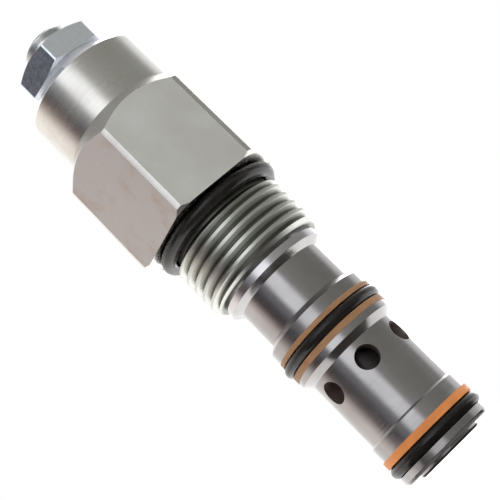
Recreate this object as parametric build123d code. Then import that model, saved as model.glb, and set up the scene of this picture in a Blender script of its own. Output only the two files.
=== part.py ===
from build123d import *
import os
from math import atan, cos, pi, radians, sin, sqrt, tan

# Screw-in cartridge valve: pilot-operated pressure reducing valve with a hand-set adjuster.
# All sizes are in millimetres. The valve's axis is Z. z = 0 is the seating face under the
# hexagon, +Z runs towards the adjusting screw and -Z towards the nose (port 1).

# --- driving dimensions ---------------------------------------------------------------------
INCH = 25.4
BODY_THREAD_DIA = 0.75 * INCH  # 3/4-16 UNF mounting thread
BODY_THREAD_PITCH = INCH / 16
SCREW_DIA = 0.3125 * INCH  # 5/16-24 UNF adjusting screw
SCREW_PITCH = INCH / 24
HEX_ACROSS_FLATS = 0.875 * INCH
NUT_ACROSS_FLATS = 0.5 * INCH
KEY_ACROSS_FLATS = 0.15625 * INCH  # hexagon key for the adjusting screw

RUNNING = 0.03  # radial clearance of a sliding fit
THREAD_GAP = 0.05  # radial gap between a screw's crest and its plain-bored hole
SEAL_GAP = 0.02  # keeps an elastomer ring just off the wall of its groove

# hexagon and cap, heights from the seating face
HEX_CORNER_R = 12.6  # the hexagon's corners are turned off to this radius
HEX_FOOT_CHAMFER = 0.45
HEX_SHOULDER_Z = 15.6  # where the turned shoulder starts on the corners
CAP_Z = 18.9  # where the shoulder meets the cap
CAP_R = 9.65
CAP_CHAMFER = 1.1
CAP_TOP_Z = 28.25

# adapter below the hexagon
SEAT_RECESS_R = 10.7  # the seat O-ring lies in this shallow recess
SEAT_RECESS_DEPTH = 0.1
UNDERCUT_R = 8.35
UNDERCUT_END_Z = -2.4
THREAD_TOP_Z = -3.2
ADAPTER_END_Z = -11.05
THREAD_END_CHAMFER = 0.7
THREAD_RUN_IN = 1.8  # how far below the adapter's end the thread's helix starts

# adapter bores
SPIGOT_BORE_R = 6.85
PILOT_BORE_R = 5.5
PILOT_BORE_FOOT_Z = -0.7
PUSHER_CEILING_Z = 22.5

# washer and lock nut
WASHER_TOP_Z = 30.2
WASHER_FOOT_R = 7.4
WASHER_TOP_R = 6.2
NUT_THICKNESS = 3.9
NUT_CORNER_R = 7.25  # the nut's corners are turned off to this radius
NUT_ANGLE = 9.0  # how far the tightened nut's corners lie from the hexagon's
NUT_TOP_CHAMFER_RISE = 0.6
NUT_FOOT_CHAMFER_RISE = 0.2

# cage
SPIGOT_R = 6.8
SPIGOT_TOP_Z = -1.5
COLLAR_RIM_R = 7.3
COLLAR_R = 8.2
COLLAR_TOP_Z = -11.5
COLLAR_FOOT_Z = -12.6
NECK_TOP_Z = -13.4
NECK_R = 7.0
NECK_FOOT_Z = -19.25
UPPER_LAND_R = 8.0
UPPER_LAND_TOP_Z = -20.1
UPPER_GROOVE_TOP_Z = -21.8
UPPER_GROOVE_FOOT_Z = -25.2
UPPER_GROOVE_R = 6.85
UPPER_LAND_FOOT_Z = -26.2
CAGE_R = 6.95
CAGE_STEP_Z = -27.2
LOWER_LAND_TOP_Z = -38.1
LOWER_LAND_R = 7.25
LOWER_GROOVE_TOP_Z = -40.5
LOWER_GROOVE_FOOT_Z = -43.45
LOWER_GROOVE_R = 5.95
NOSE_CHAMFER = 0.4
NOSE_Z = -44.85
CAGE_BORE_R = 4.25
SEAT_POCKET_R = 5.45
SEAT_POCKET_Z = -6.2
STOP_POCKET_R = 5.05
STOP_POCKET_Z = -43.6

# ports
SIDE_PORT_COUNT = 6
SIDE_PORT_DIA = 3.4
SIDE_PORT_Z = -29.8
SIDE_PORT_ANGLE = 20.0  # first side port, measured from a corner of the hexagon
SPIGOT_FLAT_DISTANCE = 6.3  # a flat down the spigot drains the pilot stage under the collar's rim

# seals
SEAT_RING_SECTION = 2.1
UPPER_RING_SECTION = 1.68
UPPER_BACKUP_TOP_HEIGHT = 0.68
UPPER_BACKUP_FOOT_HEIGHT = 0.87
UPPER_BACKUP_R = 8.12
LOWER_RING_SECTION = 1.8
LOWER_BACKUP_HEIGHT = 1.1
LOWER_BACKUP_R = 7.55
BACKUP_SLIT = 0.15
BACKUP_SLIT_LEAN = 60.0  # scarf cut, from the axis

# spool stop ring
STOP_RING_FOOT_Z = -45.45
STOP_RING_BORE_R = 3.6
STOP_RING_CHAMFER = 0.3

# spool
SPOOL_TOP_Z = -18.0
SPOOL_CORE_R = 2.6
SPOOL_CORE_TOP_Z = -24.6
SPOOL_POCKET_R = 3.45
SPOOL_POCKET_Z = -20.6
SPOOL_WAIST_R = 3.5
SPOOL_WAIST_TOP_Z = -25.4
SPOOL_WAIST_FOOT_Z = -28.9
SPOOL_CROSS_DIA = 2.2
SPOOL_CROSS_COUNT = 4
BALANCE_GROOVE_DEPTH = 0.3
BALANCE_GROOVE_HEIGHT = 0.35
BALANCE_GROOVES_Z = (-21.6, -23.0, -24.4, -34.0, -37.0, -40.0)
ORIFICE_PLUG_R = 1.9
ORIFICE_DIA = 0.6
SCREEN_THICKNESS = 0.5
SCREEN_HOLE_DIA = 0.35
SCREEN_HOLE_RINGS = ((0.75, 6), (1.45, 12))  # radius and number of holes

# pilot stage
PILOT_SEAT_FLANGE_R = 6.5
PILOT_SEAT_R = 5.4
PILOT_SEAT_FOOT_Z = -6.0
PILOT_SEAT_GROOVE_R = 3.95
PILOT_SEAT_GROOVE_Z = (-4.9, -3.1)
PILOT_HOLE_R = 0.9
PILOT_HOLE_TOP_Z = -2.2
PILOT_LEAD_Z = -1.8
PILOT_GUIDE_R = 1.9
PILOT_SLOT_WIDTH = 1.2
PILOT_SLOT_DEPTH = 0.45
POPPET_HALF_ANGLE = 25.0
POPPET_SEAT_GAP = 0.02
POPPET_STEM_R = 1.6
POPPET_FLANGE_R = 2.9
POPPET_FLANGE_Z = (-0.4, 0.6)
POPPET_TOP_Z = 2.6
SPRING_SPIGOT_R = 1.55

# springs
MAIN_SPRING_WIRE = 0.8
MAIN_SPRING_COIL_R = 2.95
MAIN_SPRING_PITCH = 2.1
PILOT_SPRING_WIRE = 1.1
PILOT_SPRING_COIL_R = 2.25
PILOT_SPRING_PITCH = 1.85

# adjuster
PUSHER_FOOT_Z = 11.0
PUSHER_TOP_Z = 19.0
PUSHER_SPIGOT_Z = 9.2
PUSHER_GROOVE_Z = (13.4, 16.0)
PUSHER_GROOVE_R = 3.9
PUSHER_BACKUP_HEIGHT = 0.9
SCREW_END_Z = 36.9
SCREW_NOSE_R = 2.6
SCREW_NOSE_HEIGHT = 0.6
SCREW_CHAMFER = 0.45
KEY_DEPTH = 3.6

THREAD_DEPTH = 0.58  # as a share of the pitch
CREST_FLAT = 0.28  # as a share of the pitch
HALF_FLANK = radians(30)


# --- shared shapes --------------------------------------------------------------------------
def turned(*outline):
    """Solid of revolution about Z, from the (radius, height) corners of its half section."""
    corners = [(radius, 0, height) for radius, height in outline]
    return revolve(make_face(Polyline(*corners, close=True)), Axis.Z)


def sleeve(outer_r, inner_r, low, high):
    """Plain tube about Z."""
    return turned((inner_r, low), (outer_r, low), (outer_r, high), (inner_r, high))


def rod(radius, low, high):
    """Plain cylinder about Z."""
    return turned((0, low), (radius, low), (radius, high), (0, high))


def hexagon(across_flats, low, high):
    """Hexagonal prism about Z with corners on the X axis."""
    outline = RegularPolygon(across_flats / sqrt(3), 6)
    return extrude(Pos(0, 0, low) * outline, high - low)


def thread_groove(major_r, pitch, low, high):
    """Helical V groove of a 60 degree thread, from z low to z high."""
    depth = THREAD_DEPTH * pitch
    overshoot = 0.04 * pitch
    mouth_half = (1 - CREST_FLAT) / 2 * pitch
    root_half = mouth_half - depth * tan(HALF_FLANK)
    outer_half = mouth_half + overshoot * tan(HALF_FLANK)
    section = Polyline(
        (major_r + overshoot, 0, low - outer_half),
        (major_r + overshoot, 0, low + outer_half),
        (major_r - depth, 0, low + root_half),
        (major_r - depth, 0, low - root_half),
        close=True,
    )
    path = Helix(pitch, high - low, major_r - depth, center=(0, 0, low))
    return sweep(make_face(section), path, is_frenet=True)


def o_ring(inner_r, section, centre_z):
    """Elastomer ring lying in a groove whose floor has radius inner_r."""
    minor_r = section / 2
    return Pos(0, 0, centre_z) * Torus(inner_r + SEAL_GAP + minor_r, minor_r)


def backup_ring(inner_r, outer_r, low, high):
    """Flat anti-extrusion ring with one scarf cut."""
    ring = sleeve(outer_r, inner_r + SEAL_GAP, low, high)
    lean = Rot(BACKUP_SLIT_LEAN, 0, 0) * Box(outer_r, BACKUP_SLIT, 4 * (high - low))
    return ring - Pos(1.2 * inner_r, 0, (low + high) / 2) * lean


def coil_spring(coil_r, wire, pitch, low, high):
    """Compression spring with ends ground flat at z low and z high."""
    path = Helix(pitch, high - low, coil_r, center=(0, 0, low))
    lead = atan(pitch / (2 * pi * coil_r))
    start = Plane((coil_r, 0, low), x_dir=(1, 0, 0), z_dir=(0, cos(lead), sin(lead)))
    wire_coil = sweep(start * Circle(wire / 2), path, is_frenet=True)
    return wire_coil & rod(coil_r + wire, low, high)


def around(count, first_angle=0.0):
    """Evenly spaced turns about Z."""
    return [Rot(0, 0, first_angle + 360 / count * i) for i in range(count)]


def radial_hole(diameter, height, reach):
    """Cylinder along +X from the axis out to a reach."""
    return Pos(reach / 2, 0, height) * Rot(0, 90, 0) * Cylinder(diameter / 2, reach)


# --- housing --------------------------------------------------------------------------------
def hex_adapter():
    """Hexagon, cap and mounting thread in one turned piece, bored for the pilot stage."""
    outside = turned(
        (0, SEAT_RECESS_DEPTH),
        (SEAT_RECESS_R, SEAT_RECESS_DEPTH),
        (SEAT_RECESS_R, 0),
        (HEX_CORNER_R - HEX_FOOT_CHAMFER, 0),
        (HEX_CORNER_R, HEX_FOOT_CHAMFER),
        (HEX_CORNER_R, HEX_SHOULDER_Z),
        (CAP_R, CAP_Z),
        (0, CAP_Z),
    )
    body = outside & hexagon(HEX_ACROSS_FLATS, 0, CAP_Z)
    body += turned(
        (0, CAP_Z),
        (CAP_R, CAP_Z),
        (CAP_R, CAP_TOP_Z - CAP_CHAMFER),
        (CAP_R - CAP_CHAMFER, CAP_TOP_Z),
        (0, CAP_TOP_Z),
    )
    crest_r = BODY_THREAD_DIA / 2
    stem = turned(
        (0, SEAT_RECESS_DEPTH),
        (UNDERCUT_R, SEAT_RECESS_DEPTH),
        (UNDERCUT_R, UNDERCUT_END_Z),
        (crest_r, THREAD_TOP_Z),
        (crest_r, ADAPTER_END_Z + THREAD_END_CHAMFER),
        (crest_r - THREAD_END_CHAMFER, ADAPTER_END_Z),
        (0, ADAPTER_END_Z),
    )
    first_turn = ADAPTER_END_Z - THREAD_RUN_IN
    stem -= thread_groove(crest_r, BODY_THREAD_PITCH, first_turn, UNDERCUT_END_Z)
    body += stem
    body -= rod(SPIGOT_BORE_R, ADAPTER_END_Z - 1, PILOT_BORE_FOOT_Z)
    body -= rod(PILOT_BORE_R, PILOT_BORE_FOOT_Z, PUSHER_CEILING_Z)
    return body - rod(SCREW_DIA / 2 + THREAD_GAP, PUSHER_CEILING_Z, CAP_TOP_Z)


def cage():
    """Sleeve that carries the spool, with its two sealed lands and the side ports."""
    body = turned(
        (CAGE_BORE_R, SEAT_POCKET_Z),
        (SEAT_POCKET_R, SEAT_POCKET_Z),
        (SEAT_POCKET_R, SPIGOT_TOP_Z),
        (SPIGOT_R, SPIGOT_TOP_Z),
        (SPIGOT_R, ADAPTER_END_Z),
        (COLLAR_RIM_R, ADAPTER_END_Z),
        (COLLAR_RIM_R, COLLAR_TOP_Z),
        (COLLAR_R, COLLAR_TOP_Z),
        (COLLAR_R, COLLAR_FOOT_Z),
        (NECK_R, NECK_TOP_Z),
        (NECK_R, NECK_FOOT_Z),
        (UPPER_LAND_R, UPPER_LAND_TOP_Z),
        (UPPER_LAND_R, UPPER_GROOVE_TOP_Z),
        (UPPER_GROOVE_R, UPPER_GROOVE_TOP_Z),
        (UPPER_GROOVE_R, UPPER_GROOVE_FOOT_Z),
        (UPPER_LAND_R, UPPER_GROOVE_FOOT_Z),
        (UPPER_LAND_R, UPPER_LAND_FOOT_Z),
        (CAGE_R, CAGE_STEP_Z),
        (CAGE_R, LOWER_LAND_TOP_Z),
        (LOWER_LAND_R, LOWER_LAND_TOP_Z - (LOWER_LAND_R - CAGE_R)),
        (LOWER_LAND_R, LOWER_GROOVE_TOP_Z),
        (LOWER_GROOVE_R, LOWER_GROOVE_TOP_Z),
        (LOWER_GROOVE_R, LOWER_GROOVE_FOOT_Z),
        (LOWER_LAND_R, LOWER_GROOVE_FOOT_Z),
        (LOWER_LAND_R, NOSE_Z + NOSE_CHAMFER),
        (LOWER_LAND_R - NOSE_CHAMFER, NOSE_Z),
        (STOP_POCKET_R, NOSE_Z),
        (STOP_POCKET_R, STOP_POCKET_Z),
        (CAGE_BORE_R, STOP_POCKET_Z),
    )
    for turn in around(SIDE_PORT_COUNT, SIDE_PORT_ANGLE):
        body -= turn * radial_hole(SIDE_PORT_DIA, SIDE_PORT_Z, 2 * CAGE_R)
    height = SPIGOT_TOP_Z - COLLAR_TOP_Z
    slab = Box(2 * COLLAR_R, SPIGOT_R, height)
    flat = Pos(0, SPIGOT_FLAT_DISTANCE + SPIGOT_R / 2, COLLAR_TOP_Z + height / 2) * slab
    return body - flat


def spool_stop_ring():
    """Ring pressed into the nose, which holds the spool in and forms port 1."""
    outer = STOP_POCKET_R - SEAL_GAP
    return turned(
        (STOP_RING_BORE_R, STOP_POCKET_Z),
        (outer, STOP_POCKET_Z),
        (outer, STOP_RING_FOOT_Z + STOP_RING_CHAMFER),
        (outer - STOP_RING_CHAMFER, STOP_RING_FOOT_Z),
        (STOP_RING_BORE_R + STOP_RING_CHAMFER, STOP_RING_FOOT_Z),
        (STOP_RING_BORE_R, STOP_RING_FOOT_Z + STOP_RING_CHAMFER),
    )


def pilot_seat():
    """Disc clamped between adapter and cage, with the pilot hole and its seat."""
    groove_foot, groove_top = PILOT_SEAT_GROOVE_Z
    body = turned(
        (PILOT_HOLE_R, PILOT_SEAT_FOOT_Z),
        (PILOT_SEAT_R, PILOT_SEAT_FOOT_Z),
        (PILOT_SEAT_R, groove_foot),
        (PILOT_SEAT_GROOVE_R, groove_foot),
        (PILOT_SEAT_GROOVE_R, groove_top),
        (PILOT_SEAT_R, groove_top),
        (PILOT_SEAT_R, SPIGOT_TOP_Z),
        (PILOT_SEAT_FLANGE_R, SPIGOT_TOP_Z),
        (PILOT_SEAT_FLANGE_R, PILOT_BORE_FOOT_Z),
        (PILOT_GUIDE_R, PILOT_BORE_FOOT_Z),
        (PILOT_GUIDE_R, PILOT_LEAD_Z),
        (PILOT_HOLE_R + PILOT_LEAD_Z - PILOT_HOLE_TOP_Z, PILOT_LEAD_Z),
        (PILOT_HOLE_R, PILOT_HOLE_TOP_Z),
    )
    slot = Box(4 * PILOT_SEAT_FLANGE_R, PILOT_SLOT_WIDTH, 2 * PILOT_SLOT_DEPTH)
    return body - Pos(0, 0, PILOT_BORE_FOOT_Z) * slot


# --- moving pieces --------------------------------------------------------------------------
def main_spool():
    """Hollow spool: the waist meets the side ports, cross holes lead to the open core."""
    outer = CAGE_BORE_R - RUNNING
    body = turned(
        (SPOOL_CORE_R, STOP_POCKET_Z),
        (outer, STOP_POCKET_Z),
        (outer, SPOOL_WAIST_FOOT_Z),
        (SPOOL_WAIST_R, SPOOL_WAIST_FOOT_Z),
        (SPOOL_WAIST_R, SPOOL_WAIST_TOP_Z),
        (outer, SPOOL_WAIST_TOP_Z),
        (outer, SPOOL_TOP_Z),
        (SPOOL_POCKET_R, SPOOL_TOP_Z),
        (SPOOL_POCKET_R, SPOOL_POCKET_Z),
        (ORIFICE_PLUG_R, SPOOL_POCKET_Z),
        (ORIFICE_PLUG_R, SPOOL_CORE_TOP_Z),
        (SPOOL_CORE_R, SPOOL_CORE_TOP_Z),
    )
    for middle in BALANCE_GROOVES_Z:
        half = BALANCE_GROOVE_HEIGHT / 2
        body -= sleeve(outer + 1, outer - BALANCE_GROOVE_DEPTH, middle - half, middle + half)
    waist_middle = (SPOOL_WAIST_TOP_Z + SPOOL_WAIST_FOOT_Z) / 2
    for turn in around(SPOOL_CROSS_COUNT):
        body -= turn * radial_hole(SPOOL_CROSS_DIA, waist_middle, 2 * SPOOL_WAIST_R)
    return body


def orifice_plug():
    """Plug pressed into the spool's web, with the fine hole that feeds the pilot stage."""
    outer = ORIFICE_PLUG_R - SEAL_GAP
    return turned(
        (ORIFICE_DIA / 2, SPOOL_CORE_TOP_Z),
        (outer, SPOOL_CORE_TOP_Z),
        (outer, SPOOL_POCKET_Z - SEAL_GAP),
        (3 * ORIFICE_DIA / 2, SPOOL_POCKET_Z - SEAL_GAP),
        (ORIFICE_DIA / 2, SPOOL_POCKET_Z - ORIFICE_DIA),
    )


def orifice_screen():
    """Perforated disc under the plug that keeps dirt out of the orifice."""
    disc = rod(SPOOL_CORE_R - SEAL_GAP, SPOOL_CORE_TOP_Z - SCREEN_THICKNESS, SPOOL_CORE_TOP_Z)
    disc -= rod(SCREEN_HOLE_DIA / 2, SPOOL_CORE_TOP_Z - 1, SPOOL_CORE_TOP_Z)
    for radius, count in SCREEN_HOLE_RINGS:
        for turn in around(count):
            hole = Cylinder(SCREEN_HOLE_DIA / 2, 4 * SCREEN_THICKNESS)
            disc -= turn * Pos(radius, 0, SPOOL_CORE_TOP_Z) * hole
    return disc


def pilot_poppet():
    """Cone on a stem, with a flange for the pilot spring."""
    slope = tan(radians(POPPET_HALF_ANGLE))
    tip_z = PILOT_HOLE_TOP_Z - PILOT_HOLE_R / slope + POPPET_SEAT_GAP
    flange_foot, flange_top = POPPET_FLANGE_Z
    return turned(
        (0, tip_z),
        (POPPET_STEM_R, tip_z + POPPET_STEM_R / slope),
        (POPPET_STEM_R, flange_foot),
        (POPPET_FLANGE_R, flange_foot),
        (POPPET_FLANGE_R, flange_top),
        (SPRING_SPIGOT_R, flange_top),
        (SPRING_SPIGOT_R, POPPET_TOP_Z),
        (0, POPPET_TOP_Z),
    )


def spring_pusher():
    """Sealed piston between the adjusting screw and the pilot spring."""
    outer = PILOT_BORE_R - RUNNING
    groove_foot, groove_top = PUSHER_GROOVE_Z
    chamfer = 0.3
    return turned(
        (0, PUSHER_SPIGOT_Z),
        (SPRING_SPIGOT_R, PUSHER_SPIGOT_Z),
        (SPRING_SPIGOT_R, PUSHER_FOOT_Z),
        (outer - chamfer, PUSHER_FOOT_Z),
        (outer, PUSHER_FOOT_Z + chamfer),
        (outer, groove_foot),
        (PUSHER_GROOVE_R, groove_foot),
        (PUSHER_GROOVE_R, groove_top),
        (outer, groove_top),
        (outer, PUSHER_TOP_Z - chamfer),
        (outer - chamfer, PUSHER_TOP_Z),
        (0, PUSHER_TOP_Z),
    )


def adjusting_screw():
    """Set screw with a hexagon socket, threaded through the cap."""
    major_r = SCREW_DIA / 2
    body_foot = PUSHER_TOP_Z + SCREW_NOSE_HEIGHT
    body = turned(
        (0, PUSHER_TOP_Z),
        (SCREW_NOSE_R, PUSHER_TOP_Z),
        (SCREW_NOSE_R, body_foot),
        (major_r - SCREW_CHAMFER, body_foot),
        (major_r, body_foot + SCREW_CHAMFER),
        (major_r, SCREW_END_Z - SCREW_CHAMFER),
        (major_r - SCREW_CHAMFER, SCREW_END_Z),
        (0, SCREW_END_Z),
    )
    first_turn = body_foot - SCREW_PITCH / 4
    body -= thread_groove(major_r, SCREW_PITCH, first_turn, SCREW_END_Z + SCREW_PITCH)
    return body - hexagon(KEY_ACROSS_FLATS, SCREW_END_Z - KEY_DEPTH, SCREW_END_Z)


def nut_washer():
    """Coned washer between the cap and the lock nut."""
    bore = SCREW_DIA / 2 + 3 * THREAD_GAP
    rim = 0.35
    return turned(
        (bore, CAP_TOP_Z),
        (WASHER_FOOT_R, CAP_TOP_Z),
        (WASHER_FOOT_R, CAP_TOP_Z + rim),
        (WASHER_TOP_R, WASHER_TOP_Z),
        (bore, WASHER_TOP_Z),
    )


def lock_nut():
    """Thin hexagon nut, chamfered on both faces."""
    foot, top = WASHER_TOP_Z, WASHER_TOP_Z + NUT_THICKNESS
    face_r = NUT_ACROSS_FLATS / 2 - 0.1
    mouth = 0.4
    bore = SCREW_DIA / 2 + THREAD_GAP
    shape = turned(
        (bore, foot + mouth),
        (bore + mouth, foot),
        (face_r, foot),
        (NUT_CORNER_R, foot + NUT_FOOT_CHAMFER_RISE),
        (NUT_CORNER_R, top - NUT_TOP_CHAMFER_RISE),
        (face_r, top),
        (bore + mouth, top),
        (bore, top - mouth),
    )
    return shape & Rot(0, 0, NUT_ANGLE) * hexagon(NUT_ACROSS_FLATS, foot, top)


# --- seals and springs ----------------------------------------------------------------------
def seals():
    """O-rings and backup rings, by node name."""
    seat_z = SEAT_RECESS_DEPTH - SEAT_RING_SECTION / 2 - SEAL_GAP
    upper_high = UPPER_GROOVE_TOP_Z - UPPER_BACKUP_TOP_HEIGHT
    upper_low = UPPER_GROOVE_FOOT_Z + UPPER_BACKUP_FOOT_HEIGHT
    lower_high = LOWER_GROOVE_TOP_Z - LOWER_BACKUP_HEIGHT
    seat_foot, seat_top = PILOT_SEAT_GROOVE_Z
    pusher_foot, pusher_top = PUSHER_GROOVE_Z
    pusher_section = PILOT_BORE_R - PUSHER_GROOVE_R - 3 * SEAL_GAP
    pilot_section = SEAT_POCKET_R - PILOT_SEAT_GROOVE_R - 2 * SEAL_GAP
    return {
        "seat_o_ring": o_ring(UNDERCUT_R, SEAT_RING_SECTION, seat_z),
        "upper_backup_ring_top": backup_ring(
            UPPER_GROOVE_R, UPPER_BACKUP_R, upper_high, UPPER_GROOVE_TOP_Z
        ),
        "upper_o_ring": o_ring(UPPER_GROOVE_R, UPPER_RING_SECTION, (upper_high + upper_low) / 2),
        "upper_backup_ring_bottom": backup_ring(
            UPPER_GROOVE_R, UPPER_BACKUP_R, UPPER_GROOVE_FOOT_Z, upper_low
        ),
        "lower_backup_ring": backup_ring(
            LOWER_GROOVE_R, LOWER_BACKUP_R, lower_high, LOWER_GROOVE_TOP_Z
        ),
        "lower_o_ring": o_ring(
            LOWER_GROOVE_R, LOWER_RING_SECTION, (lower_high + LOWER_GROOVE_FOOT_Z) / 2
        ),
        "pilot_seat_o_ring": o_ring(PILOT_SEAT_GROOVE_R, pilot_section, (seat_foot + seat_top) / 2),
        "pusher_o_ring": o_ring(
            PUSHER_GROOVE_R, pusher_section, (pusher_foot + pusher_top - PUSHER_BACKUP_HEIGHT) / 2
        ),
        "pusher_backup_ring": backup_ring(
            PUSHER_GROOVE_R,
            PILOT_BORE_R - 2 * RUNNING,
            pusher_top - PUSHER_BACKUP_HEIGHT,
            pusher_top,
        ),
    }


def main_spring():
    """Spring that holds the spool down on its stop."""
    return coil_spring(
        MAIN_SPRING_COIL_R, MAIN_SPRING_WIRE, MAIN_SPRING_PITCH, SPOOL_POCKET_Z, PILOT_SEAT_FOOT_Z
    )


def pilot_spring():
    """Spring that sets the pressure at which the poppet lifts."""
    return coil_spring(
        PILOT_SPRING_COIL_R,
        PILOT_SPRING_WIRE,
        PILOT_SPRING_PITCH,
        POPPET_FLANGE_Z[1],
        PUSHER_FOOT_Z,
    )


PIECES = {
    "hex_adapter": hex_adapter(),
    "cage": cage(),
    "spool_stop_ring": spool_stop_ring(),
    "pilot_seat": pilot_seat(),
    "main_spool": main_spool(),
    "orifice_plug": orifice_plug(),
    "orifice_screen": orifice_screen(),
    "main_spring": main_spring(),
    "pilot_poppet": pilot_poppet(),
    "pilot_spring": pilot_spring(),
    "spring_pusher": spring_pusher(),
    "adjusting_screw": adjusting_screw(),
    "nut_washer": nut_washer(),
    "lock_nut": lock_nut(),
    **seals(),
}

os.makedirs("parts", exist_ok=True)
for name, piece in PIECES.items():
    export_step(piece, f"parts/{name}.step")
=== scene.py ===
import math

import bpy
from mathutils import Matrix, Vector


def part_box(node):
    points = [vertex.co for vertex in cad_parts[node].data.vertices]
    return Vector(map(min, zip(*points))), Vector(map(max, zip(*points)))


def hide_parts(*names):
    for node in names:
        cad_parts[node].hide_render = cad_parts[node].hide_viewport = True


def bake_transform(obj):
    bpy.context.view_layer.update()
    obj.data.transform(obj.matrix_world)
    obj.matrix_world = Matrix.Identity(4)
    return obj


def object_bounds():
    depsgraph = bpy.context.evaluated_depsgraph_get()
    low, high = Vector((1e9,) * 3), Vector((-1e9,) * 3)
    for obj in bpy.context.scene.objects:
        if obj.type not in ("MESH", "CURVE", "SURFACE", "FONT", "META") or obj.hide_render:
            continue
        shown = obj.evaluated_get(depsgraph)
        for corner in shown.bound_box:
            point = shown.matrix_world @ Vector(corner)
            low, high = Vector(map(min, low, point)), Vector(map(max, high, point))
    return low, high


# Cartridge valve: finishes, springs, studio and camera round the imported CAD. All lengths are in metres.

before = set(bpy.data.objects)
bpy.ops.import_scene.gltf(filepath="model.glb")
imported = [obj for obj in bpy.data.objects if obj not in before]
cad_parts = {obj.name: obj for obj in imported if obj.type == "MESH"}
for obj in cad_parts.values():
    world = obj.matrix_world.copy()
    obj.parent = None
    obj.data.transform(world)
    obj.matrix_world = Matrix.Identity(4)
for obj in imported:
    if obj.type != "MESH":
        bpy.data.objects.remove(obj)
cad_low, cad_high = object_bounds()

MM = 0.001
HEIGHT = cad_high.z - cad_low.z
FLOOR_Z = cad_low.z - 0.02 * MM

# --- viewpoint ------------------------------------------------------------------------------
# The valve stands on its nose. The camera is level with the nose, looks up along the valve and is
# rolled so that the nose points to the lower right of the picture.
CAMERA_AZIMUTH = math.radians(-108)
CAMERA_TILT = math.radians(14)
CAMERA_DISTANCE = 157.9 * MM
CAMERA_ROLL = math.radians(45)
CAMERA_CLIP = (1 * MM, 20)
LENS = 82.1
AIM_Z = cad_low.z + 0.4645 * HEIGHT


def add_camera():
    aim = Vector((0, 0, AIM_Z))
    side = Vector((math.cos(CAMERA_AZIMUTH), math.sin(CAMERA_AZIMUTH), 0))
    back = (side * math.cos(CAMERA_TILT) - Vector((0, 0, math.sin(CAMERA_TILT)))).normalized()
    down = Vector((0, 0, -1))
    nose_way = (down - down.project(back)).normalized()
    across = back.cross(nose_way)
    right = nose_way * math.cos(CAMERA_ROLL) + across * math.sin(CAMERA_ROLL)
    up = back.cross(right)
    turn = Matrix((right, up, back)).transposed().to_4x4()
    data = bpy.data.cameras.new("camera")
    data.lens = LENS
    data.clip_start, data.clip_end = CAMERA_CLIP
    camera = bpy.data.objects.new("camera", data)
    camera.matrix_world = Matrix.Translation(aim + back * CAMERA_DISTANCE) @ turn
    bpy.context.scene.collection.objects.link(camera)
    bpy.context.scene.camera = camera


# --- studio ---------------------------------------------------------------------------------
# Brightness of the studio wall by angle round the valve, in degrees from the camera's side and
# positive towards -azimuth, as (angle, red, green, blue).
STUDIO_WALL = (
    (-180, 3.90, 3.90, 3.90),
    (-156, 3.90, 3.90, 3.90),
    (-149, 1.25, 1.25, 1.28),
    (-132, 1.10, 1.10, 1.13),
    (-122, 0.95, 0.95, 0.97),
    (-113, 0.50, 0.50, 0.50),
    (-106, 0.36, 0.36, 0.35),
    (-75, 0.32, 0.32, 0.30),
    (-40, 0.36, 0.36, 0.34),
    (-12, 0.48, 0.48, 0.47),
    (-2, 1.47, 1.49, 1.56),
    (22, 1.47, 1.49, 1.56),
    (27, 1.10, 1.11, 1.15),
    (32, 0.36, 0.37, 0.40),
    (45, 0.26, 0.26, 0.28),
    (55, 0.14, 0.13, 0.14),
    (70, 0.13, 0.105, 0.105),
    (79, 0.37, 0.30, 0.285),
    (89, 0.85, 0.74, 0.70),
    (104, 1.32, 1.22, 1.16),
    (140, 1.30, 1.27, 1.24),
    (180, 1.30, 1.29, 1.28),
)
ZENITH = (0.50, 0.50, 0.51)
BACKGROUND = (1.0, 1.0, 1.0)

# The wall gives way to the zenith between these heights of a direction (0 level, 1 straight up).
WALL_TOP = 0.55
ZENITH_FROM = 0.9

FLOOR_HALF = 0.4

# The black card's reach and the angles it spans, counted like the studio wall's.
FLAG_INNER_R = 7.2 * MM
FLAG_R = 250 * MM
FLAG_FROM = math.radians(-88)
FLAG_TO = math.radians(60)
FLAG_STEPS = 24
FLAG_Z = FLOOR_Z + 0.01 * MM

SOFTBOX_PLACE = Vector((0.05, 0.1, 0.6))
SOFTBOX_SIDE = 0.5
SOFTBOX_WATTS = 6


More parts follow.
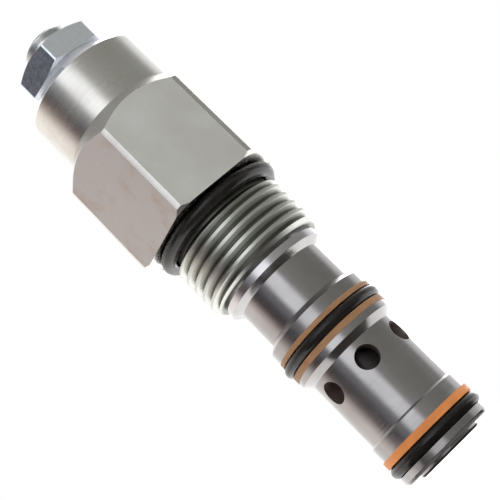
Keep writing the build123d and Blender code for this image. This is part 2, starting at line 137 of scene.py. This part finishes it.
def add_world():
    """The studio wall and zenith light the valve, and the camera sees plain white behind it."""
    world = bpy.data.worlds.new("studio")
    bpy.context.scene.world = world
    world.use_nodes = True
    tree = world.node_tree
    tree.nodes.clear()
    new, link = tree.nodes.new, tree.links.new
    place = new("ShaderNodeTexCoord")
    turn = new("ShaderNodeMapping")
    turn.inputs["Rotation"].default_value = (0, 0, -CAMERA_AZIMUTH)
    link(place.outputs["Generated"], turn.inputs["Vector"])
    parts = new("ShaderNodeSeparateXYZ")
    link(turn.outputs["Vector"], parts.inputs[0])
    angle = new("ShaderNodeMath")
    angle.operation = "ARCTAN2"
    negative = new("ShaderNodeMath")
    negative.operation = "MULTIPLY"
    negative.inputs[1].default_value = -1
    link(parts.outputs["Y"], negative.inputs[0])
    link(negative.outputs[0], angle.inputs[0])
    link(parts.outputs["X"], angle.inputs[1])
    share = new("ShaderNodeMapRange")
    share.inputs["From Min"].default_value = -math.pi
    share.inputs["From Max"].default_value = math.pi
    link(angle.outputs[0], share.inputs["Value"])
    wall = new("ShaderNodeValToRGB")
    stops = wall.color_ramp.elements
    while len(stops) > 1:
        stops.remove(stops[-1])
    for i, (degrees, *colour) in enumerate(STUDIO_WALL):
        where = (degrees + 180) / 360
        stop = stops[0] if i == 0 else stops.new(where)
        stop.position = where
        stop.color = (*colour, 1)
    link(share.outputs[0], wall.inputs[0])
    height = new("ShaderNodeMapRange")
    height.inputs["From Min"].default_value = WALL_TOP
    height.inputs["From Max"].default_value = ZENITH_FROM
    link(parts.outputs["Z"], height.inputs["Value"])
    dome = new("ShaderNodeMix")
    dome.data_type = "RGBA"
    link(height.outputs[0], dome.inputs["Factor"])
    link(wall.outputs[0], dome.inputs["A"])
    dome.inputs["B"].default_value = (*ZENITH, 1)
    light = new("ShaderNodeBackground")
    link(dome.outputs["Result"], light.inputs["Color"])
    backdrop = new("ShaderNodeBackground")
    backdrop.inputs["Color"].default_value = (*BACKGROUND, 1)
    rays = new("ShaderNodeLightPath")
    seen = new("ShaderNodeMixShader")
    link(rays.outputs["Is Camera Ray"], seen.inputs["Fac"])
    link(light.outputs[0], seen.inputs[1])
    link(backdrop.outputs[0], seen.inputs[2])
    out = new("ShaderNodeOutputWorld")
    link(seen.outputs[0], out.inputs["Surface"])


def add_mesh(name, corners, faces):
    mesh = bpy.data.meshes.new(name)
    mesh.from_pydata(corners, [], faces)
    piece = bpy.data.objects.new(name, mesh)
    bpy.context.scene.collection.objects.link(piece)
    return piece


def plain_paper(name, colour, roughness, specular):
    paper = bpy.data.materials.new(name)
    paper.use_nodes = True
    shader = paper.node_tree.nodes["Principled BSDF"]
    shader.inputs["Base Color"].default_value = (*colour, 1)
    shader.inputs["Roughness"].default_value = roughness
    shader.inputs["Specular IOR Level"].default_value = specular
    return paper


def add_floor():
    corners = [(x * FLOOR_HALF, y * FLOOR_HALF, FLOOR_Z) for x, y in ((-1, -1), (1, -1), (1, 1), (-1, 1))]
    floor = add_mesh("floor", corners, [(0, 1, 2, 3)])
    floor.data.materials.append(plain_paper("floor_paper", (0.9, 0.9, 0.9), 0.9, 0.1))


def add_flag():
    """Black card lying on the camera's side of the valve. Only reflections see it."""
    corners, faces = [], []
    for i in range(FLAG_STEPS + 1):
        heading = CAMERA_AZIMUTH - FLAG_FROM - (FLAG_TO - FLAG_FROM) * i / FLAG_STEPS
        for radius in (FLAG_INNER_R, FLAG_R):
            corners.append((radius * math.cos(heading), radius * math.sin(heading), FLAG_Z))
    for i in range(0, 2 * FLAG_STEPS, 2):
        faces.append((i, i + 1, i + 3, i + 2))
    flag = add_mesh("flag", corners, faces)
    flag.data.materials.append(plain_paper("black_card", (0.07, 0.065, 0.065), 1.0, 0.0))
    flag.visible_camera = False
    flag.visible_diffuse = False
    flag.visible_shadow = False


def add_softbox():
    """Square light above the valve, aimed at its middle and left out of reflections."""
    data = bpy.data.lights.new("top_softbox", "AREA")
    data.shape = "RECTANGLE"
    data.size = data.size_y = SOFTBOX_SIDE
    data.energy = SOFTBOX_WATTS
    lamp = bpy.data.objects.new("top_softbox", data)
    lamp.location = SOFTBOX_PLACE
    lamp.rotation_euler = (-SOFTBOX_PLACE).to_track_quat("-Z", "Y").to_euler()
    lamp.visible_glossy = False
    bpy.context.scene.collection.objects.link(lamp)


# --- materials ------------------------------------------------------------------------------
# Where the adapter's finish, its painted shade and its painted highlight change, as heights above the seating
# face and radii round the axis.
THREAD_TOP_Z = -0.5 * MM
FLATS_FROM_Z = 0.02 * MM
# Above this height the cap's chamfer is painted near white: painted highlight.
CAP_CHAMFER_Z = 27.2 * MM
# The thread is painted dark at the first radius and full tone from the second: painted shade in its valleys.
THREAD_VALLEY_R, THREAD_CREST_R = 8.62 * MM, 9.0 * MM
CAP_R = 9.7 * MM  # just outside the cap and inside the flats
CORNER_R = 12.58 * MM  # just inside the hexagon's turned corners

# Where the cage's and the screw's finishes change; inside the port walls the change is partly painted light.
COLLAR_FOOT_Z = -12.58 * MM
PORT_WALL_R = 6.9 * MM
SCREW_END_Z = 36.6 * MM

# Headings that set painted shade: the hexagon face turned towards the first heading and the nut faces turned away
# from the second are painted darker.
SHADED_HEX_FACE = math.radians(-150)
BRIGHT_NUT_FACE = math.radians(-50)

LATHE_DEPTH = 0.0006 * MM
PORT_DULLNESS = 0.35


class Shader:
    """A material under construction, with short calls for the nodes that the finishes share."""

    def __init__(self, name):
        self.material = bpy.data.materials.new(name)
        self.material.use_nodes = True
        self.nodes = self.material.node_tree.nodes
        self.links = self.material.node_tree.links
        self.bsdf = self.nodes["Principled BSDF"]
        self.place = self.nodes.new("ShaderNodeTexCoord").outputs["Object"]

    def set(self, **values):
        for name, value in values.items():
            self.bsdf.inputs[name.replace("_", " ")].default_value = value

    def feed(self, name, source):
        self.links.new(source, self.bsdf.inputs[name])

    def put(self, socket, value):
        """Give a socket a number, a colour or another node's output."""
        if isinstance(value, (int, float)):
            socket.default_value = value
        elif isinstance(value, tuple):
            socket.default_value = (*value, 1)
        else:
            self.links.new(value, socket)

    def math(self, operation, first, second=0.0):
        node = self.nodes.new("ShaderNodeMath")
        node.operation = operation
        self.put(node.inputs[0], first)
        self.put(node.inputs[1], second)
        return node.outputs[0]

    def xyz(self, vector):
        parts = self.nodes.new("ShaderNodeSeparateXYZ")
        self.links.new(vector, parts.inputs[0])
        return parts.outputs

    def radius(self, x, y):
        square = self.math("ADD", self.math("MULTIPLY", x, x), self.math("MULTIPLY", y, y))
        return self.math("SQRT", square)

    def radius_and_height(self):
        x, y, z = self.xyz(self.place)
        return self.radius(x, y), z

    def ring_place(self, ring_scale, round_scale):
        """Coordinates that change fast along and across the axis and slowly round it."""
        x, y, z = self.xyz(self.place)
        turned = self.nodes.new("ShaderNodeCombineXYZ")
        self.put(turned.inputs[0], self.math("MULTIPLY", self.radius(x, y), ring_scale / MM))
        self.put(turned.inputs[1], self.math("MULTIPLY", self.math("ARCTAN2", y, x), round_scale))
        self.put(turned.inputs[2], self.math("MULTIPLY", z, ring_scale / MM))
        return turned.outputs[0]

    def stretched_place(self, scale):
        """Object coordinates in millimetres, times a scale for each axis."""
        node = self.nodes.new("ShaderNodeMapping")
        node.inputs["Scale"].default_value = [s / MM for s in scale]
        self.links.new(self.place, node.inputs["Vector"])
        return node.outputs[0]

    def normal(self):
        return self.xyz(self.nodes.new("ShaderNodeTexCoord").outputs["Normal"])

    def upright(self):
        """1 where the surface stands along the axis."""
        return self.math("LESS_THAN", self.math("ABSOLUTE", self.normal()["Z"]), 0.2)

    def facing(self, heading):
        """How far the surface faces a heading round the axis, from -1 to 1."""
        x, y, _ = self.normal()
        along_x = self.math("MULTIPLY", x, math.cos(heading))
        return self.math("ADD", along_x, self.math("MULTIPLY", y, math.sin(heading)))

    def noise(self, place, scale=1.0, detail=2.0, roughness=0.5):
        node = self.nodes.new("ShaderNodeTexNoise")
        node.inputs["Scale"].default_value = scale
        node.inputs["Detail"].default_value = detail
        node.inputs["Roughness"].default_value = roughness
        self.links.new(place, node.inputs["Vector"])
        return node.outputs["Fac"]

    def spread(self, source, low, high, from_low=0.3, from_high=0.7):
        node = self.nodes.new("ShaderNodeMapRange")
        node.inputs["From Min"].default_value = from_low
        node.inputs["From Max"].default_value = from_high
        node.inputs["To Min"].default_value = low
        node.inputs["To Max"].default_value = high
        self.links.new(source, node.inputs["Value"])
        return node.outputs[0]

    def mix(self, share, first, second):
        node = self.nodes.new("ShaderNodeMix")
        node.data_type = "RGBA"
        self.put(node.inputs["Factor"], share)
        self.put(node.inputs["A"], first)
        self.put(node.inputs["B"], second)
        return node.outputs["Result"]

    def bump(self, height, depth, under=None):
        node = self.nodes.new("ShaderNodeBump")
        node.inputs["Strength"].default_value = 1.0
        node.inputs["Distance"].default_value = depth
        self.links.new(height, node.inputs["Height"])
        if under is not None:
            self.links.new(under, node.inputs["Normal"])
        return node.outputs[0]

    def lathe_rings(self):
        return self.noise(self.ring_place(3.2, 0.35), detail=4.0, roughness=0.6)

    def stains(self):
        return self.noise(self.stretched_place((0.22, 0.22, 0.16)), detail=3.0)

    def stained(self, stain, light, dark):
        return self.mix(self.spread(stain, 0.0, 1.0, 0.32, 0.68), light, dark)

    def turned_roughness(self, stain, rings, rough):
        return self.math("ADD", self.spread(stain, -0.04, 0.04), self.spread(rings, rough - 0.03, rough + 0.05))


def turned_metal(name, light, dark, rough, marks=1.0, top=None, drilled=None):
    """Lathe-turned or ground metal: fine rings round the axis, faint stains and dull patches.

    top, if given, is a height and the colour above it. drilled is a radius and the colour inside it,
    where the metal is also duller.
    """
    s = Shader(name)
    s.set(Metallic=1.0)
    radius, z = s.radius_and_height()
    rings, stain = s.lathe_rings(), s.stains()
    colour = s.stained(stain, light, dark)
    roughness = s.turned_roughness(stain, rings, rough)
    if top is not None:
        colour = s.mix(s.math("GREATER_THAN", z, top[0]), colour, top[1])
    if drilled is not None:
        inside = s.math("LESS_THAN", radius, drilled[0])
        colour = s.mix(inside, colour, drilled[1])
        roughness = s.math("ADD", roughness, s.math("MULTIPLY", inside, PORT_DULLNESS))
    s.feed("Base Color", colour)
    s.feed("Roughness", roughness)
    s.feed("Normal", s.bump(rings, LATHE_DEPTH * marks))
    return s.material


def adapter_metal(name):
    """Turned steel with duller milled flats and rust patches, plus painted light and shade: painted shade on one
    hexagon face and in the thread's valleys, and a painted highlight on the cap's chamfer.
    """
    s = Shader(name)
    s.set(Metallic=1.0)
    radius, z = s.radius_and_height()
    rings, stain = s.lathe_rings(), s.stains()
    grain = s.noise(s.stretched_place((2.5, 2.5, 0.9)), detail=4.0, roughness=0.65)
    above_seat = s.math("GREATER_THAN", z, FLATS_FROM_Z)
    outside_cap = s.math("GREATER_THAN", radius, CAP_R)
    inside_corner = s.math("LESS_THAN", radius, CORNER_R)
    upper_side = s.math("MULTIPLY", above_seat, outside_cap)
    flats = s.math("MULTIPLY", upper_side, s.math("MULTIPLY", inside_corner, s.upright()))

    turned = s.stained(stain, (0.66, 0.66, 0.63), (0.60, 0.58, 0.54))
    # The cap's chamfer is painted near white, a painted highlight of the bright studio.
    turned = s.mix(s.math("GREATER_THAN", z, CAP_CHAMFER_Z), turned, (0.93, 0.93, 0.93))

    milled = s.stained(stain, (0.885, 0.895, 0.85), (0.81, 0.80, 0.75))
    rust = s.noise(s.stretched_place((0.3, 0.3, 0.16)), detail=4.0, roughness=0.7)
    # The hexagon face turned towards its heading is painted darker as painted shade; brownish rust patches sit on
    # that face only.
    shaded_face = s.spread(s.facing(SHADED_HEX_FACE), 0.0, 1.0, 0.6, 0.9)
    milled = s.mix(shaded_face, milled, (0.63, 0.61, 0.595))
    rust_on_shaded_face = s.math("MULTIPLY", shaded_face, s.spread(rust, 0.0, 0.8, 0.5, 0.7))
    milled = s.mix(rust_on_shaded_face, milled, (0.56, 0.45, 0.37))

    # Below the seat the thread is painted darker towards its valleys: painted shade in the grooves.
    below_seat = s.math("LESS_THAN", z, THREAD_TOP_Z)
    crest = s.spread(radius, 0.0, 1.0, THREAD_VALLEY_R, THREAD_CREST_R)
    thread = s.mix(crest, (0.20, 0.20, 0.18), (0.55, 0.56, 0.52))
    s.feed("Base Color", s.mix(below_seat, s.mix(flats, turned, milled), thread))

    smooth = s.turned_roughness(stain, rings, 0.24)
    smooth = s.math("ADD", smooth, s.math("MULTIPLY", below_seat, 0.09))
    dull = s.spread(grain, 0.46, 0.54)
    duller = s.math("MULTIPLY", flats, s.math("SUBTRACT", dull, smooth))
    s.feed("Roughness", s.math("ADD", duller, smooth))
    lathe = s.bump(s.math("MULTIPLY", rings, s.math("SUBTRACT", 1.0, flats)), LATHE_DEPTH)
    s.feed("Normal", s.bump(s.math("MULTIPLY", grain, flats), 0.006 * MM, lathe))
    return s.material


def rubber(name):
    s = Shader(name)
    s.set(IOR=1.42, Specular_IOR_Level=0.5)
    grain = s.noise(s.stretched_place((6, 6, 6)), detail=4.0, roughness=0.6)
    film = s.noise(s.stretched_place((0.4, 0.4, 0.8)), detail=2.0)
    s.feed("Base Color", s.mix(s.spread(film, 0, 1), (0.005, 0.0045, 0.004), (0.01, 0.009, 0.0075)))
    s.feed("Roughness", s.spread(film, 0.22, 0.34))
    s.feed("Normal", s.bump(grain, 0.004 * MM))
    return s.material


def backup(name, light, dark):
    """Hard plastic of the backup rings, with lathe marks."""
    s = Shader(name)
    s.set(IOR=1.38, Subsurface_Weight=0.12, Subsurface_Scale=0.3 * MM)
    cloud = s.noise(s.stretched_place((0.5, 0.5, 0.9)), detail=4.0, roughness=0.6)
    lathe = s.noise(s.ring_place(5.0, 0.5), detail=2.0)
    s.feed("Base Color", s.mix(s.spread(cloud, 0, 1), light, dark))
    s.feed("Roughness", s.spread(lathe, 0.4, 0.58))
    s.feed("Normal", s.bump(lathe, 0.003 * MM))
    return s.material


def zinc(name, light, dark, painted_shade=None, painted_shade_away_from=0.0):
    """Zinc plating: bluish and faintly mottled.

    The optional darker colour is painted shade on upright faces turned away from the given heading.
    """
    s = Shader(name)
    s.set(Metallic=1.0)
    mottle = s.noise(s.stretched_place((1.6, 1.6, 1.6)), detail=5.0, roughness=0.62)
    colour = s.mix(s.spread(mottle, 0, 1), light, dark)
    roughness = s.spread(mottle, 0.3, 0.44)
    if painted_shade is not None:
        # Painted shade: upright faces turned away from the heading take the darker colour.
        turned_away = s.spread(s.facing(painted_shade_away_from), 1.0, 0.0, 0.2, 0.6)
        turned_away = s.math("MULTIPLY", turned_away, s.upright())
        colour = s.mix(turned_away, colour, painted_shade)
        roughness = s.math("SUBTRACT", roughness, s.math("MULTIPLY", turned_away, 0.1))
    s.feed("Base Color", colour)
    s.feed("Roughness", roughness)
    s.feed("Normal", s.bump(mottle, 0.003 * MM))
    return s.material


def paint(material, *nodes):
    for node in nodes:
        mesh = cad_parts[node].data
        mesh.materials.clear()
        mesh.materials.append(material)


def finish_pieces():
    paint(adapter_metal("adapter_steel"), "hex_adapter")
    paint(turned_metal("pusher_steel", (0.60, 0.60, 0.58), (0.52, 0.52, 0.50), 0.24), "spring_pusher")

    ground = ((0.385, 0.375, 0.37), (0.33, 0.32, 0.315), 0.18)
    collar = (COLLAR_FOOT_Z, (0.57, 0.56, 0.57))
    # The port walls are brownish and lighter than the ground steel: partly their own tint, partly painted light
    # in the ports.
    ports = (PORT_WALL_R, (0.47, 0.40, 0.375))
    paint(turned_metal("cage_steel", *ground, top=collar, drilled=ports), "cage")
    paint(turned_metal("ring_steel", *ground), "spool_stop_ring", "pilot_seat")

    # The spool, pilot poppet and screen are painted near black, so the ports look dark inside: painted shade.
    spool_steel = turned_metal("spool_steel", (0.055, 0.05, 0.05), (0.04, 0.037, 0.037), 0.42)
    paint(spool_steel, "main_spool", "pilot_poppet", "orifice_screen")

    dark_end = (SCREW_END_Z, (0.16, 0.16, 0.16))
    screw_steel = turned_metal("screw_steel", (0.80, 0.81, 0.80), (0.66, 0.67, 0.67), 0.3, 2.0, dark_end)
    paint(screw_steel, "adjusting_screw")
    # The nut's upright faces turned away from BRIGHT_NUT_FACE are painted a darker blue: painted shade.
    nut_zinc = zinc(
        "nut_zinc", (0.92, 0.96, 1.0), (0.80, 0.85, 0.90), painted_shade=(0.46, 0.54, 0.65), painted_shade_away_from=BRIGHT_NUT_FACE
    )
    paint(nut_zinc, "lock_nut")
    paint(zinc("washer_zinc", (0.84, 0.83, 0.85), (0.77, 0.77, 0.79)), "nut_washer")
    paint(turned_metal("plug_brass", (0.80, 0.62, 0.34), (0.70, 0.52, 0.27), 0.24), "orifice_plug")

    spring_steel = turned_metal("spring_wire", (0.34, 0.34, 0.35), (0.26, 0.26, 0.28), 0.28)
    paint(spring_steel, "main_spring", "pilot_spring")
    add_springs(spring_steel)

    seal_rubber = rubber("seal_rubber")
    backup_dark = backup("backup_tan", (0.32, 0.17, 0.08), (0.24, 0.125, 0.06))
    backup_bright = backup("backup_orange", (0.68, 0.245, 0.062), (0.57, 0.20, 0.05))
    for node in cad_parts:
        if node.endswith("o_ring"):
            paint(seal_rubber, node)
        elif "backup" in node:
            paint(backup_bright if node.startswith("lower") else backup_dark, node)


def smooth_edges(mesh):
    """Curved faces shade smoothly, and real edges stay sharp."""
    mesh.polygons.foreach_set("use_smooth", [True] * len(mesh.polygons))
    mesh.set_sharp_from_angle(angle=math.radians(25))


# --- springs --------------------------------------------------------------------------------
# The CAD springs are rigid, so these coils stand for them.
COIL_STEPS = 28
WIRE_SIDES = 14
MAIN_COIL_R, MAIN_WIRE, MAIN_PITCH = 2.95 * MM, 0.8 * MM, 2.1 * MM
PILOT_COIL_R, PILOT_WIRE, PILOT_PITCH = 2.25 * MM, 1.1 * MM, 1.85 * MM
PILOT_FIRST_STRETCH = 2.4 * MM  # the pilot spring is built as two coils, split this far above its foot


def wire_coil(name, node, coil_r, wire, pitch, low, high):
    """One stretch, from low to high, of the coil spring that stands for a node.

    The spring's first and last turns are ground flat where the node's box ends.
    """
    foot, top = (corner.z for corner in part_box(node))
    slope = math.atan(pitch / (2 * math.pi * coil_r))
    steps = round((high - low) / pitch * COIL_STEPS)
    points, faces = [], []
    for i in range(steps + 1):
        z = low + (high - low) * i / steps
        turn = (z - foot) / pitch * 2 * math.pi
        outward = Vector((math.cos(turn), math.sin(turn), 0))
        round_axis = Vector((-math.sin(turn), math.cos(turn), 0))
        along = round_axis * math.cos(slope) + Vector((0, 0, math.sin(slope)))
        across = along.cross(outward)
        for k in range(WIRE_SIDES):
            side = 2 * math.pi * k / WIRE_SIDES
            point = outward * (coil_r + wire / 2 * math.cos(side)) + across * (wire / 2 * math.sin(side))
            point.z = min(max(point.z + z, foot), top)
            points.append(point)
    for i in range(steps):
        for k in range(WIRE_SIDES):
            here, beside = i * WIRE_SIDES + k, i * WIRE_SIDES + (k + 1) % WIRE_SIDES
            faces.append((here, beside, beside + WIRE_SIDES, here + WIRE_SIDES))
    faces.append(range(WIRE_SIDES - 1, -1, -1))
    faces.append(range(steps * WIRE_SIDES, (steps + 1) * WIRE_SIDES))
    coil = add_mesh(name, points, faces)
    smooth_edges(coil.data)
    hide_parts(node)
    return coil


def add_springs(wire_steel):
    foot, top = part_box("main_spring")
    main = wire_coil("main_spring_coil", "main_spring", MAIN_COIL_R, MAIN_WIRE, MAIN_PITCH, foot.z, top.z)
    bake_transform(main)
    foot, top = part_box("pilot_spring")
    split = foot.z + PILOT_FIRST_STRETCH
    pilot = ("pilot_spring", PILOT_COIL_R, PILOT_WIRE, PILOT_PITCH)
    lower = wire_coil("pilot_spring_foot_coil", *pilot, foot.z, split)
    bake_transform(lower)
    upper = wire_coil("pilot_spring_top_coil", *pilot, split, top.z)
    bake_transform(upper)
    for coil in (main, lower, upper):
        coil.data.materials.append(wire_steel)


add_camera()
add_world()
add_floor()
add_flag()
add_softbox()
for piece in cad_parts.values():
    smooth_edges(piece.data)
finish_pieces()

scene = bpy.context.scene
scene.view_settings.view_transform = "Standard"
scene.view_settings.look = "None"
